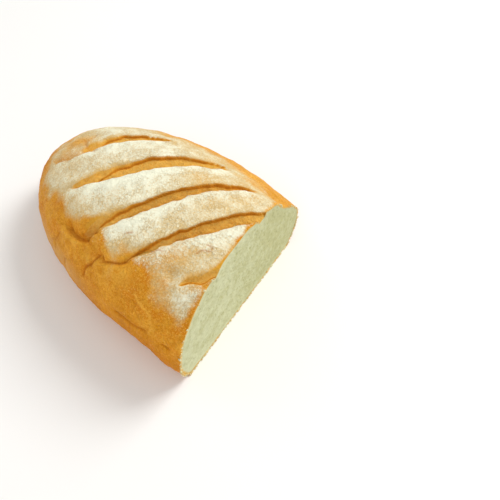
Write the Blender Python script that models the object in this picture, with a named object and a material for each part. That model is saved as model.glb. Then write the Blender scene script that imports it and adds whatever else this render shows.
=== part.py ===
"""The larger piece of a loaf of bread that has been cut across.

One solid: a long oval loaf, flat below, with five diagonal slashes over its top. It lies on
its base as it was baked. Metres, +Z up. +X points out of the cut face, and the loaf's round
end lies towards -X. The origin is at the middle of the piece's box, on its base.
"""
import math

import bmesh
import bpy
import numpy as np

# The whole loaf, before it was cut
WHOLE_LENGTH = 0.286
WHOLE_WIDTH = 0.151
HEIGHT = 0.0845

# The straight cut: how far it lies from the loaf's middle, and how far the loaf's long axis
# is turned from the cut's own direction
CUT_FROM_MIDDLE = 0.0455
AXIS_TURN = math.radians(10.2)

# Powers of the curves: 2 is an ellipse, more is boxier, less is more pointed
PLAN_POWER = 2.03
RIDGE_POWER = 2.35
NEAR_SHOULDER_POWER = 2.46
FAR_SHOULDER_POWER = 1.64
TUCK_POWER = 1.8

# The widest line of the sides, as a share of the height there, and how sharply the sides
# turn in below it before the base cuts them off
WAIST = 0.275
TUCK = 2.32

# Each slash: the two ends of its middle line in plan (x, y), how far that line bows and
# sways away from straight, half its width, how its widest place is skewed along it, and its
# share of the full depth
SLASHES = (
    ((-0.0419, -0.0051), (0.0047, 0.0381), 0.0052, 0.0000, 0.0038, 0.85, 0.80),
    ((-0.0274, -0.0340), (0.0531, 0.0390), 0.0023, -0.0017, 0.0052, 1.00, 1.00),
    ((-0.0014, -0.0577), (0.0790, 0.0332), -0.0010, -0.0022, 0.0035, 0.72, 1.00),
    ((0.0362, -0.0624), (0.1056, 0.0289), -0.0024, 0.0000, 0.0040, 1.40, 1.00),
    ((0.0755, -0.0573), (0.1310, -0.0030), 0.0038, -0.0040, 0.0028, 0.90, 0.55),
)
SLASH_DEPTH = 0.0068
LIP_DEPTH = 0.0026
SHOULDER_RUN = 0.0068
SHOULDER_FOOT = 0.0014
SHOULDER_CURVE = 2.4
LIP_RUN = 0.0010

# Folds and cracks of the side: points (x, y, z) that the line passes, how far the fold
# reaches in front of the line and behind it, and its depth. The first two are the dent at the
# near end of the third slash, and the last is the ledge that goes on from the first slash.
FOLDS = (
    (((-0.0128, -0.0524, 0.0569), (-0.0083, -0.0541, 0.0572), (-0.0024, -0.0558, 0.0581),
      (0.0027, -0.0566, 0.0595), (0.0045, -0.0565, 0.0603)), 0.0005, 0.0058, 0.0044),
    (((0.0044, -0.0564, 0.0605), (0.0052, -0.0550, 0.0625), (0.0074, -0.0528, 0.0655),
      (0.0099, -0.0514, 0.0675)), 0.0007, 0.0026, 0.0028),
    (((0.0105, -0.0669, 0.0424), (0.0111, -0.0657, 0.0471), (0.0123, -0.0650, 0.0498),
      (0.0175, -0.0639, 0.0549), (0.0202, -0.0613, 0.0600), (0.0215, -0.0600, 0.0621)),
     0.0009, 0.0020, 0.0022),
    (((0.0242, -0.0600, 0.0628), (0.0265, -0.0616, 0.0616), (0.0296, -0.0612, 0.0628),
      (0.0367, -0.0601, 0.0656), (0.0401, -0.0585, 0.0676)), 0.0008, 0.0016, 0.0022),
    (((0.0410, -0.0750, 0.0350), (0.0454, -0.0753, 0.0351), (0.0547, -0.0764, 0.0355),
      (0.0654, -0.0769, 0.0386)), 0.0009, 0.0018, 0.0018),
    (((0.0525, -0.0763, 0.0345), (0.0517, -0.0767, 0.0269)), 0.0007, 0.0007, 0.0012),
    (((0.0788, -0.0778, 0.0362), (0.0836, -0.0777, 0.0368)), 0.0008, 0.0012, 0.0014),
    (((-0.0266, -0.0535, 0.0409), (-0.0280, -0.0542, 0.0345), (-0.0313, -0.0534, 0.0234)),
     0.0009, 0.0014, 0.0011),
    (((-0.0209, -0.0537, 0.0482), (-0.0245, -0.0548, 0.0397), (-0.0232, -0.0564, 0.0348)),
     0.0007, 0.0014, 0.0014),
    (((-0.0116, -0.0609, 0.0366), (-0.0143, -0.0606, 0.0290), (-0.0111, -0.0619, 0.0234)),
     0.0008, 0.0014, 0.0014),
    (((-0.0492, 0.0086, 0.0677), (-0.0431, 0.0028, 0.0704), (-0.0369, -0.0010, 0.0727)),
     0.0008, 0.0016, 0.0010),
    (((-0.0472, 0.0087, 0.0686), (-0.0460, 0.0133, 0.0689), (-0.0462, 0.0169, 0.0686)),
     0.0007, 0.0009, 0.0010),
    (((-0.0120, -0.0540, 0.0548), (-0.0078, -0.0556, 0.0551), (-0.0036, -0.0570, 0.0555),
      (0.0023, -0.0574, 0.0581)), 0.0014, 0.0008, -0.0010),
    (((0.0128, -0.0639, 0.0526), (0.0161, -0.0625, 0.0566)), 0.0016, 0.0014, -0.0009),
    (((0.0221, -0.0620, 0.0596), (0.0253, -0.0631, 0.0592), (0.0265, -0.0617, 0.0614)),
     0.0014, 0.0008, -0.0012),
    (((-0.0569, -0.0154, 0.0595), (-0.0510, -0.0135, 0.0640), (-0.0449, -0.0114, 0.0679),
      (-0.0396, -0.0066, 0.0711), (-0.0356, -0.0017, 0.0731)), 0.0006, 0.0052, 0.0009),
)
# Where a fold passes from its front reach to its back reach, measured backwards and up from
# its line, and the power of its curve
FOLD_TURN_FRONT = -0.0003
FOLD_TURN_BACK = 0.0006
FOLD_POWER = 1.15
BACK_AND_UP = math.sqrt(0.5)

# Soft swells and hollows of the crust: middle (x, y, z), radius and height
SWELLS = (
    ((-0.050, -0.055, 0.030), 0.030, 0.0016),
    ((0.000, -0.072, 0.025), 0.028, 0.0012),
    ((0.050, -0.076, 0.012), 0.022, -0.0016),
    ((0.088, -0.074, 0.012), 0.016, 0.0012),
    ((-0.085, 0.010, 0.030), 0.030, 0.0008),
    ((0.0935, 0.043, 0.060), 0.020, -0.0034),
    ((0.0935, 0.073, 0.030), 0.014, 0.0014),
    ((0.0240, -0.0560, 0.0670), 0.0070, 0.0016),
    ((-0.0080, -0.0560, 0.0530), 0.0060, 0.0010),
    ((0.0200, -0.0640, 0.0560), 0.0050, 0.0009),
    ((0.0699, -0.0528, 0.0738), 0.0045, -0.0018),
    ((0.0920, 0.0290, 0.0700), 0.0080, 0.0018),
    ((0.0950, -0.0010, 0.0810), 0.0040, -0.0014),
)

# The mesh: fine enough for the slashes, then thinned where it is smooth
SPHERE_SEGMENTS = 200
SPHERE_RINGS = 400
KEEP_SHARE = 0.12
SLANT = 0.367
STEP = 1e-4
TRIM_MARGIN = 0.1

CRUST_COLOUR = (0.62, 0.34, 0.10, 1.0)
CRUMB_COLOUR = (0.72, 0.71, 0.47, 1.0)

A_HALF = WHOLE_LENGTH / 2
B_HALF = WHOLE_WIDTH / 2
COS_TURN = math.cos(AXIS_TURN)
SIN_TURN = math.sin(AXIS_TURN)

# The cut face is at CUT_X, half of the piece's length from the middle of its box
END_REACH = math.hypot(A_HALF * COS_TURN, B_HALF * SIN_TURN)
CUT_X = (CUT_FROM_MIDDLE + END_REACH) / 2
MIDDLE_X = CUT_X - CUT_FROM_MIDDLE


def superellipse(value, power):
    """The other coordinate of a superellipse of half size 1, for one coordinate 0 to 1."""
    return np.clip(1 - np.abs(value) ** power, 0, 1) ** (1 / power)


def smooth_step(value, low, high):
    """0 below low, 1 above high, and a smooth rise between them."""
    t = np.clip((value - low) / (high - low), 0, 1)
    return t * t * (3 - 2 * t)


def smooth_loaf(lat, turn):
    """Points of the loaf without slashes: lat runs along it, turn runs round its section.

    The lines of equal lat slant across the top as the slashes do, and straighten at the ends.
    """
    across = np.cos(turn)
    rise = np.sin(turn)
    shoulder = np.where(across < 0, NEAR_SHOULDER_POWER, FAR_SHOULDER_POWER)
    power = 2 / np.where(rise >= 0, shoulder, TUCK_POWER)
    share_across = np.sign(across) * np.abs(across) ** power
    along = np.sin(lat - SLANT * share_across * (1 - np.sin(lat) ** 6))
    half_width = B_HALF * superellipse(along, PLAN_POWER)
    ridge = HEIGHT * superellipse(along, RIDGE_POWER)
    waist = WAIST * ridge
    side = half_width * share_across
    lift = np.abs(rise) ** power
    height = np.where(rise >= 0, waist + (ridge - waist) * lift, waist * (1 - TUCK * lift))
    a = A_HALF * along
    x = MIDDLE_X - a * COS_TURN + side * SIN_TURN
    y = a * SIN_TURN + side * COS_TURN
    return np.stack([x, y, height], axis=-1)


def loaf_normals(lat, turn):
    """Outward directions of the smooth loaf, from its slopes along and round it."""
    inside = np.clip(lat, -math.pi / 2 + 20 * STEP, math.pi / 2 - 20 * STEP)
    along = smooth_loaf(inside + STEP, turn) - smooth_loaf(inside - STEP, turn)
    round_it = smooth_loaf(inside, turn + STEP) - smooth_loaf(inside, turn - STEP)
    normal = np.cross(along, round_it)
    length = np.linalg.norm(normal, axis=-1, keepdims=True)
    return normal / np.maximum(length, 1e-20)


def slash_relief(points, slash):
    """Height of one slash: a round shoulder in front, a floor that rises, and a lip behind."""
    near, far, bow, sway, half_width, skew, share = slash
    near = np.array(near)
    chord = np.array(far) - near
    length = np.hypot(*chord)
    chord = chord / length
    back = np.array([-chord[1], chord[0]])
    rel = points[:, :2] - near
    t = rel @ chord / length
    inside = np.clip(t, 0, 1)
    middle = bow * np.sin(math.pi * inside) + sway * np.sin(2 * math.pi * inside)
    fade = np.sin(math.pi * inside) ** 0.6
    wide = half_width * np.maximum(np.sin(math.pi * inside ** skew) ** 0.6, 0.05)
    d = rel @ back - middle
    foot = SHOULDER_FOOT - wide
    run = np.clip((d + wide + SHOULDER_RUN) / (SHOULDER_FOOT + SHOULDER_RUN), 0, 1)
    shoulder = 1 - superellipse(run, SHOULDER_CURVE)
    floor = SLASH_DEPTH + (LIP_DEPTH - SLASH_DEPTH) * np.clip((d - foot) / (wide - foot), 0, 1)
    lip = 1 - smooth_step(d, wide - LIP_RUN, wide + LIP_RUN)
    on_top = smooth_step(points[:, 2], 0.42 * HEIGHT, 0.66 * HEIGHT)
    return -share * shoulder * floor * lip * fade * on_top


def fold_relief(points, fold):
    """A narrow groove along a line of points, steeper on its front side."""
    line, reach_front, reach_back, depth = fold
    nearest = np.full(len(points), np.inf)
    above = np.zeros(len(points))
    for start, end in zip(line[:-1], line[1:]):
        start = np.array(start)
        run = np.array(end) - start
        t = np.clip((points - start) @ run / (run @ run), 0, 1)
        offset = points - start - t[:, None] * run
        distance = np.linalg.norm(offset, axis=1)
        closer = distance < nearest
        nearest = np.where(closer, distance, nearest)
        above = np.where(closer, BACK_AND_UP * (offset[:, 1] + offset[:, 2]), above)
    behind = smooth_step(above, FOLD_TURN_FRONT, FOLD_TURN_BACK)
    reach = reach_front + (reach_back - reach_front) * behind
    return -depth * np.exp(-(nearest / reach) ** FOLD_POWER)


def swell_relief(points, swell):
    """A soft round rise or hollow."""
    middle, radius, height = swell
    distance = np.linalg.norm(points - np.array(middle), axis=1)
    return height * np.exp(-(distance / radius) ** 2)


def loaf_points(lat, turn):
    """Points of the slashed loaf."""
    points = smooth_loaf(lat, turn)
    relief = sum(slash_relief(points, slash) for slash in SLASHES)
    relief = relief + sum(fold_relief(points, fold) for fold in FOLDS)
    relief = relief + sum(swell_relief(points, swell) for swell in SWELLS)
    return points + loaf_normals(lat, turn) * relief[:, None]


def make_material(name, colour, roughness):
    """A plain material of one colour."""
    material = bpy.data.materials.new(name)
    material.use_nodes = True
    shader = material.node_tree.nodes["Principled BSDF"]
    shader.inputs["Base Color"].default_value = colour
    shader.inputs["Roughness"].default_value = roughness
    shader.inputs["Metallic"].default_value = 0.0
    return material


def make_whole_loaf(collection):
    """A sphere with its poles at the loaf's ends, moved out to the loaf's surface."""
    shape = bmesh.new()
    bmesh.ops.create_uvsphere(
        shape, u_segments=SPHERE_SEGMENTS, v_segments=SPHERE_RINGS, radius=1.0
    )
    sphere = np.array([vert.co for vert in shape.verts])
    lat = np.arcsin(np.clip(sphere[:, 2], -1, 1))
    turn = np.arctan2(sphere[:, 1], sphere[:, 0])
    for vert, place in zip(shape.verts, loaf_points(lat, turn)):
        vert.co = place
    bmesh.ops.recalc_face_normals(shape, faces=shape.faces)
    mesh = bpy.data.meshes.new("loaf")
    shape.to_mesh(mesh)
    shape.free()
    mesh.shade_smooth()
    mesh.materials.append(make_material("crust", CRUST_COLOUR, 0.6))
    loaf = bpy.data.objects.new("loaf", mesh)
    collection.objects.link(loaf)
    thin = loaf.modifiers.new("thin", "DECIMATE")
    thin.decimate_type = "COLLAPSE"
    thin.ratio = KEEP_SHARE
    return loaf


def make_trim_box(collection):
    """The space that the kept piece fills: up from the base, and back from the cut."""
    low = (-END_REACH - TRIM_MARGIN, -B_HALF - TRIM_MARGIN, 0.0)
    high = (CUT_X, B_HALF + TRIM_MARGIN, HEIGHT + TRIM_MARGIN)
    middle = [(a + b) / 2 for a, b in zip(low, high)]
    size = [b - a for a, b in zip(low, high)]
    bpy.ops.mesh.primitive_cube_add(size=1.0, location=middle)
    box = bpy.context.object
    box.name = "trim_box"
    box.scale = size
    box.data.materials.append(make_material("crumb", CRUMB_COLOUR, 0.9))
    for owner in list(box.users_collection):
        owner.objects.unlink(box)
    collection.objects.link(box)
    box.display_type = "WIRE"
    box.hide_render = True
    return box


def new_collection(name):
    """A collection of the scene."""
    collection = bpy.data.collections.new(name)
    bpy.context.scene.collection.children.link(collection)
    return collection


def main():
    for thing in list(bpy.data.objects):
        bpy.data.objects.remove(thing, do_unlink=True)
    loaf = make_whole_loaf(new_collection("bread_loaf"))
    cut = loaf.modifiers.new("cut", "BOOLEAN")
    cut.operation = "INTERSECT"
    cut.object = make_trim_box(new_collection("cutters"))


main()
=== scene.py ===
"""The larger piece of a cut loaf of white bread: floured crust, open slashes and soft crumb.

The packed solid gives the frame: metres, +X out of the cut face, +Z up. The crust and the
cut face are surfaces worked out with numpy from the loaf's own sizes.
"""

import math
from contextlib import contextmanager
from types import SimpleNamespace

import bmesh
import bpy
import numpy as np
from mathutils import Matrix, Vector


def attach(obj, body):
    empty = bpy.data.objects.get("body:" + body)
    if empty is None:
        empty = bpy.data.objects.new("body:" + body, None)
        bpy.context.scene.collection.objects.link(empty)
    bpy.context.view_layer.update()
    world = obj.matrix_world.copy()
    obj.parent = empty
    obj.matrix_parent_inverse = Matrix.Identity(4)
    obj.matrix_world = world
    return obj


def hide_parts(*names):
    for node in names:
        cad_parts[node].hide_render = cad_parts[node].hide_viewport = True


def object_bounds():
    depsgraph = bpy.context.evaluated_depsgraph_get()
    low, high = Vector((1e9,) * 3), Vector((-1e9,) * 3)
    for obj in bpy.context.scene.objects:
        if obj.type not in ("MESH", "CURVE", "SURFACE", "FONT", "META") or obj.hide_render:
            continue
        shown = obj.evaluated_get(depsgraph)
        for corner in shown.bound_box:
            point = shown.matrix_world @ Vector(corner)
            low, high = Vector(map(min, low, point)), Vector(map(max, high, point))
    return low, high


bl_info = {
    "name": "Cut loaf of bread",
    "version": (1, 0, 0),
    "blender": (4, 5, 0),
    "location": "3D View > Sidebar > Loaf",
    "description": "Makes a floured loaf of bread that has been cut across",
    "category": "Add Mesh",
}

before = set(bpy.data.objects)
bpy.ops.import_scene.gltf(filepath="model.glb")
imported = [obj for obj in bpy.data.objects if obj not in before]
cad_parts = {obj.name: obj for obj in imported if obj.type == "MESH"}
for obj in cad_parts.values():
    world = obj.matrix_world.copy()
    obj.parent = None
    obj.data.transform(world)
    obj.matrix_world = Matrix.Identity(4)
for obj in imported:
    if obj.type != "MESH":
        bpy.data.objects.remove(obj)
CAD_LOW, CAD_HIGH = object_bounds()

# The crust stops this far short of the solid's cut face, so that the torn bits have room
CUT_BACK = 0.0010
CUT_X = CAD_HIGH.x - CUT_BACK

# Each slash: the two ends of its middle line in plan (x, y), how far that line bows and
# sways away from straight, half its width, how far its widest place is skewed towards the far
# end, its share of the full depth, and the share of its length where the soft near part turns
# into a torn lip
SLASHES = (
    ((-0.0419, -0.0051), (0.0047, 0.0381), 0.0052, 0.0000, 0.0038, 0.85, 0.80, 0.42),
    ((-0.0274, -0.0340), (0.0531, 0.0390), 0.0023, -0.0017, 0.0052, 1.00, 1.00, 0.42),
    ((-0.0014, -0.0577), (0.0790, 0.0332), -0.0010, -0.0022, 0.0035, 0.72, 1.00, 0.30),
    ((0.0362, -0.0624), (0.1056, 0.0289), -0.0024, 0.0000, 0.0040, 1.40, 1.00, 0.14),
    ((0.0755, -0.0573), (0.1310, -0.0030), 0.0038, -0.0040, 0.0028, 0.90, 0.55, 0.75),
)

# The tables of lines and round spots below are in millimetres, all other lengths in metres
MM = 0.001

# Raised edges of torn crust: points (x, y, z) that the line passes. The first lies below the
# dent at the near end of the third slash, the second beside the fourth slash.
DENT_EDGE = ((-12, -54, 54.8), (-7.8, -55.6, 55.1), (-3.6, -57, 55.5), (2.3, -57.4, 58.1))
FLAP_EDGE = ((22.1, -62, 59.6), (25.3, -63.1, 59.2), (26.5, -61.7, 61.4))

# Folds and cracks of the side: the points that the line passes, how far the fold reaches in
# front of the line and behind it, and its depth. The first two are the dent at the near end
# of the third slash, and the last is the ledge that goes on from the first slash.
FOLDS = (
    (((-12.8, -52.4, 56.9), (-8.3, -54.1, 57.2), (-2.4, -55.8, 58.1), (2.7, -56.6, 59.5),
      (4.5, -56.5, 60.3)), 0.5, 5.8, 4.4),
    (((4.4, -56.4, 60.5), (5.2, -55, 62.5), (7.4, -52.8, 65.5), (9.9, -51.4, 67.5)), 0.7, 2.6,
      2.8),
    (((10.5, -66.9, 42.4), (11.1, -65.7, 47.1), (12.3, -65, 49.8), (17.5, -63.9, 54.9),
      (20.2, -61.3, 60), (21.5, -60, 62.1)), 0.9, 2, 2.2),
    (((24.2, -60, 62.8), (26.5, -61.6, 61.6), (29.6, -61.2, 62.8), (36.7, -60.1, 65.6),
      (40.1, -58.5, 67.6)), 0.8, 1.6, 2.2),
    (((41, -75, 35), (45.4, -75.3, 35.1), (54.7, -76.4, 35.5), (65.4, -76.9, 38.6)), 0.9, 1.8,
      1.8),
    (((52.5, -76.3, 34.5), (51.7, -76.7, 26.9)), 0.7, 0.7, 1.2),
    (((78.8, -77.8, 36.2), (83.6, -77.7, 36.8)), 0.8, 1.2, 1.4),
    (((-26.6, -53.5, 40.9), (-28, -54.2, 34.5), (-31.3, -53.4, 23.4)), 0.9, 1.4, 1.1),
    (((-20.9, -53.7, 48.2), (-24.5, -54.8, 39.7), (-23.2, -56.4, 34.8)), 0.7, 1.4, 1.4),
    (((-11.6, -60.9, 36.6), (-14.3, -60.6, 29), (-11.1, -61.9, 23.4)), 0.8, 1.4, 1.4),
    (((-49.2, 8.6, 67.7), (-43.1, 2.8, 70.4), (-36.9, -1, 72.7)), 0.8, 1.6, 1),
    (((-47.2, 8.7, 68.6), (-46, 13.3, 68.9), (-46.2, 16.9, 68.6)), 0.7, 0.9, 1),
    (DENT_EDGE, 1.4, 0.8, -1),
    (((12.8, -63.9, 52.6), (16.1, -62.5, 56.6)), 1.6, 1.4, -0.9),
    (FLAP_EDGE, 1.4, 0.8, -1.2),
    (((-56.9, -15.4, 59.5), (-51, -13.5, 64), (-44.9, -11.4, 67.9), (-39.6, -6.6, 71.1),
      (-35.6, -1.7, 73.1)), 0.6, 5.2, 0.9),
)

# Where a fold passes from its front reach to its back reach, measured backwards and up from
# its line, and the power of its curve
FOLD_TURN = (-0.0003, 0.0006)
FOLD_POWER = 1.15
# A fold of this depth has its full line of painted shade and its full painted shade
STRONG_FOLD = 0.0022

# Fine pale veins of the side, and raised edges that get a painted highlight: points that the line
# passes
VEINS = (
    ((54.3, -67.8, 59.3), (58.2, -70.6, 55.5), (63.7, -71.3, 54.9), (67.9, -72.3, 53.4),
     (70.3, -75.5, 45.6), (68.5, -77, 39)),
    DENT_EDGE,
    ((12, -64.3, 52), (16.1, -62.5, 56.6), (19, -61.2, 59.8)),
    FLAP_EDGE,
)
VEIN_WIDTH = 0.0008
VEIN_HEIGHT = 0.00012

# Soft swells and hollows of the crust: x, y and z of the middle, radius and height
SWELLS = (
    (-50, -55, 30, 30, 1.6),
    (0, -72, 25, 28, 1.2),
    (50, -76, 12, 22, -1.6),
    (88, -74, 12, 16, 1.2),
    (-85, 10, 30, 30, 0.8),
    (93.5, 43, 60, 20, -3.4),
    (93.5, 73, 30, 14, 1.4),
    (24, -56, 67, 7, 1.6),
    (-8, -56, 53, 6, 1),
    (20, -64, 56, 5, 0.9),
    (69.9, -52.8, 73.8, 4.5, -1.8),
    (92, 29, 70, 8, 1.8),
    (95, -1, 81, 4, -1.4),
)

# Hairline cracks of the floured top: points that the line passes
HAIRLINES = (
    ((76.6, -37.7, 79.8), (78.6, -33.8, 80.7), (82.7, -32.7, 80.7), (82.7, -29.7, 81.2),
     (79.3, -29.7, 81.5)),
    ((52, -48.6, 75.6), (54.9, -45.6, 77.2), (58.7, -45, 77.5)),
    ((31.8, -45.2, 75.6), (35, -43.4, 76.8)),
)
HAIRLINE_WIDTH = 0.0005

# Lighter spots of the bare crust: x, y, z, radius and strength
PALE_SPOTS = (
    (31.4, -61.9, 62.4, 7, 0.75),
    (41.7, -63.3, 63, 7, 0.7),
    (29.4, -66.5, 55, 6, 0.25),
    (-2.9, -56.6, 56.6, 3.5, 0.75),
    (13.4, -62.5, 55.6, 4, 0.75),
    (23.1, -61.5, 60.7, 3, 0.7),
    (14.1, -54.3, 66.1, 5, 0.3),
    (-16.4, -59.9, 27.1, 7, 0.45),
    (-7.1, -63.4, 23.6, 6, 0.35),
    (-35.8, -45.6, 48.7, 8, 0.4),
    (93.1, -75.7, 43.9, 4, 0.7),
)

# Places where the crust is crumpled: x, y, z and radius
CRUMPLED = (
    (-6, -56, 54, 11),
    (13, -63, 54, 11),
    (29, -62, 60, 8),
    (-22, -53, 44, 10),
)

# Patterns of creases: height, size of the pillows between them and seed. The first is in the
# crumpled places, the second on the whole bare side.
CRUMPLE = (0.00060, 0.0065, 12)
SIDE_CREASES = (0.00016, 0.0085, 13)

# Fine waves of the crust: height, length and seed
FINE_WAVES = ((0.00035, 0.022, 1), (0.00022, 0.009, 2), (0.00010, 0.0035, 3))

# Patches with more flour than their level has, or with less: x, y, z, radius and change
FLOUR_PATCHES = (
    (87, -60.5, 67, 9.5, 0.04),
    (80.9, -56.9, 70.9, 3.2, -0.3),
    (85, -53.9, 72.5, 3.2, -0.35),
    (89, -50, 74.2, 3.2, -0.35),
    (70.8, -60.2, 68.6, 4.5, -0.15),
    (74.8, -56, 71.7, 4, -0.12),
    (-42.4, -24.4, 64.5, 14, -0.2),
    (49.5, -55.2, 71.4, 7.5, -0.26),
    (57.8, -58.8, 69.3, 8, -0.18),
    (61.7, -44.2, 77.9, 9, -0.14),
    (34.5, -63, 61.2, 7, 0.65),
    (-40.2, 24.1, 69.3, 11, 0.25),
    (16, -8, 84, 19, 0.45),
    (-3, -25, 79, 14, 0.3),
    (-18, 6, 79, 11, 0.25),
    (10, 22, 83, 12, 0.25),
    (33, -38, 79, 11, 0.25),
    (3, -49.6, 67.1, 6.5, -0.9),
    (10.2, -46.9, 71.1, 4.5, -0.7),
    (-2.3, -53.2, 61.4, 7.5, -0.9),
    (-25.8, -43.5, 59.8, 6.5, -0.5),
    (17.6, -53.5, 67.7, 5, -0.6),
    (13.5, -57, 64, 6.5, -0.95),
    (25, -59.4, 63.7, 6, -0.9),
    (38.1, -62.5, 63.2, 7, -0.9),
    (52.1, -64.4, 63.4, 7, -0.6),
    (-56.7, 6.3, 63.7, 9, -0.55),
    (-46.5, 8.5, 68.5, 7.5, -0.5),
    (-34.4, -39.4, 58.5, 6, -0.4),
    (57, -55.5, 71.7, 14, -0.25),
    (70, -42, 78, 14, -0.35),
    (44.8, 12.2, 82.8, 11, -0.35),
    (65.5, -2, 84.2, 15, -0.25),
    (79.3, 10.3, 80.7, 11, -0.35),
    (61.4, 27.4, 76.1, 12, -0.2),
    (93, -4, 81, 3.6, -1),
    (92, -16.5, 81.5, 2.2, -0.9),
    (5.2, -27.3, 78.9, 8, -0.2),
    (-53.2, -3.1, 65.1, 8, -0.25),
    (32.9, 47, 67, 11, 0.22),
    (57.9, 39.4, 69.8, 11, 0.25),
    (78.2, 6.2, 81.9, 10, 0.2),
    (24.3, -51.7, 70.5, 7, 0.22),
    (93.5, 43.7, 59.4, 12, -0.55),
    (-42.6, -33.7, 58.1, 6, 0.16),
)


def length_value(name, description, default):
    """A length in metres."""
    return bpy.props.FloatProperty(
        name=name, description=description, default=default, unit="LENGTH")


def number_value(name, description, default, subtype="NONE"):
    """A plain number, or an angle or factor if the subtype says so."""
    return bpy.props.FloatProperty(
        name=name, description=description, default=default, subtype=subtype)


def count_value(name, description, default):
    """A whole number."""
    return bpy.props.IntProperty(name=name, description=description, default=default)


def colour_value(name, description, *default):
    """A linear colour, red, green and blue."""
    return bpy.props.FloatVectorProperty(
        name=name, description=description, size=4, subtype="COLOR", default=(*default, 1.0))


def place_value(name, description, *default):
    """A point in metres."""
    return bpy.props.FloatVectorProperty(
        name=name, description=description, size=3, subtype="TRANSLATION", default=default)


class LoafSizes(bpy.types.PropertyGroup):
    """Sizes of the whole loaf before it was cut."""
    whole_length: length_value("Whole length", "Length of the uncut loaf", 0.286)
    whole_width: length_value("Whole width", "Width of the uncut loaf", 0.151)
    height: length_value("Height", "Height of the ridge", CAD_HIGH.z)
    cut_from_middle: length_value("Cut from middle", "From the loaf's middle to the cut", 0.0455)
    axis_turn: number_value(
        "Axis turn", "Turn of the loaf's long axis from the cut's direction",
        math.radians(10.2), "ANGLE")
    plan_power: number_value("Plan power", "Power of the plan's superellipse", 2.03)
    ridge_power: number_value("Ridge power", "Power of the ridge line's superellipse", 2.35)
    near_shoulder: number_value(
        "Near shoulder", "Power of the section on the steeper side", 2.46)
    far_shoulder: number_value("Far shoulder", "Power of the section on the sloping side", 1.64)
    tuck_power: number_value("Tuck power", "Power of the section below the waist", 1.8)
    waist: number_value("Waist", "Height of the widest line, as a share", 0.275, "FACTOR")
    tuck: number_value("Tuck", "How sharply the sides turn in below the waist", 2.32)
    slant: number_value(
        "Slant", "How far the surface's rows slant with the slashes", 0.367, "ANGLE")


class SlashShape(bpy.types.PropertyGroup):
    """The section of an open slash."""
    depth: length_value("Depth", "Depth at the foot of the front shoulder", 0.0068)
    lip_depth: length_value("Lip depth", "Depth below the lip behind", 0.0026)
    shoulder_run: length_value("Shoulder run", "Width of the round front shoulder", 0.0068)
    shoulder_foot: length_value(
        "Shoulder foot", "How far the shoulder's foot lies inside the opening", 0.0014)
    shoulder_curve: number_value("Shoulder curve", "Power of the shoulder's round", 2.4)
    lip_run: length_value("Lip run", "Half the width of the torn lip's step", 0.0004)
    soft_run: length_value("Soft run", "Half the width of the step where the lip is soft", 0.0017)
    overhang: length_value("Overhang", "How far the lip leans over the floor", 0.0012)
    ear: length_value("Ear", "How far the lip's edge is raised", 0.0006)


class CrustLooks(bpy.types.PropertyGroup):
    """Colours of the crust."""
    golden: colour_value("Golden side", "Bare crust of the steeper side", 0.715, 0.286, 0.007)
    deep: colour_value("Deep golden", "Darkest blotches of the bare crust", 0.66, 0.220, 0.004)
    amber: colour_value("Amber", "Light blotches and veins of the bare crust", 0.965, 0.495, 0.062)
    pale: colour_value("Pale golden", "Bare crust of the sloping side", 0.76, 0.39, 0.040)
    tan: colour_value("Tan", "Crust that shows between the flour on top", 0.78, 0.57, 0.26)
    flour: colour_value("Flour", "Thick flour", 0.98, 0.97, 0.76)
    floor: colour_value("Slash floor", "Bare floor of the slashes", 0.86, 0.54, 0.130)
    # Painted shade of the slash floors at their creases and in front of them
    floor_shade: colour_value(
        "Dark floor", "Darkest parts of the slash floors", 0.76, 0.32, 0.022)
    # Painted shadow below the lips and painted shade in the slash and fold creases; the hairline
    # cracks' lines use it too
    lip: colour_value("Lip", "Browned line below the lip", 0.50, 0.14, 0.004)


class CrumbLooks(bpy.types.PropertyGroup):
    """Colours and pores of the crumb."""
    crumb: colour_value("Crumb", "The soft crumb", 0.735, 0.75, 0.495)
    pore: colour_value("Pore", "The shaded inside of the pores", 0.54, 0.53, 0.27)
    rim: colour_value("Rim", "The crust's own line round the cut", 0.72, 0.44, 0.10)
    rim_width: length_value("Rim width", "Width of the crust's line round the cut", 0.0016)
    pore_count: count_value("Pore count", "How many pores the cut face has", 2600)
    torn: colour_value("Torn bits", "The most toasted of the torn bits", 0.74, 0.46, 0.13)
    bit_count: count_value("Bit count", "How many torn bits hang on the cut's edge", 520)


class StageSizes(bpy.types.PropertyGroup):
    """The camera and the floor."""
    camera_place: place_value(
        "Camera place", "Where the camera stands", 0.18995, -0.18953, 0.32836)
    camera_aim: place_value(
        "Camera aim", "The point of the floor that it looks at", 0.07172, 0.03674, 0.0)
    camera_roll: number_value(
        "Camera roll", "Turn about its own view", math.radians(4.98), "ANGLE")
    lens: number_value("Lens", "Focal length in millimetres on a 36 mm sensor", 39.645)
    floor_colour: colour_value("Floor colour", "The pale floor", 0.90, 0.895, 0.88)


def superellipse(value, power):
    """(1 - |value|^power)^(1/power): the other coordinate of a superellipse of half size 1."""
    return np.clip(1 - np.abs(value) ** power, 0, 1) ** (1 / power)


def ramp(value, low, high):
    """0 below low, 1 above high, and 3t^2 - 2t^3 between them."""
    t = np.clip((value - low) / (high - low), 0, 1)
    return t * t * (3 - 2 * t)


def bell(distance, width):
    """exp(-(distance / width)^2)."""
    return np.exp(-(distance / width) ** 2)


def spot(points, x, y, z, radius):
    """A bell of the distance from a middle, for a place and a radius in millimetres."""
    middle = np.array((x, y, z)) * MM
    return bell(np.linalg.norm(points - middle, axis=1), radius * MM)


def wave_angles(points, length, seed, shortest, longest, turn):
    """Angles of twelve waves in random directions, each with a random start.

    A wave passes through turn over its own length, which is shortest to longest times length.
    """
    rng = np.random.default_rng(seed)
    directions = rng.normal(size=(12, 3))
    directions /= np.linalg.norm(directions, axis=1, keepdims=True)
    lengths = length * rng.uniform(shortest, longest, 12)
    return points @ (directions / lengths[:, None]).T * turn + rng.uniform(0, turn, 12)


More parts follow.
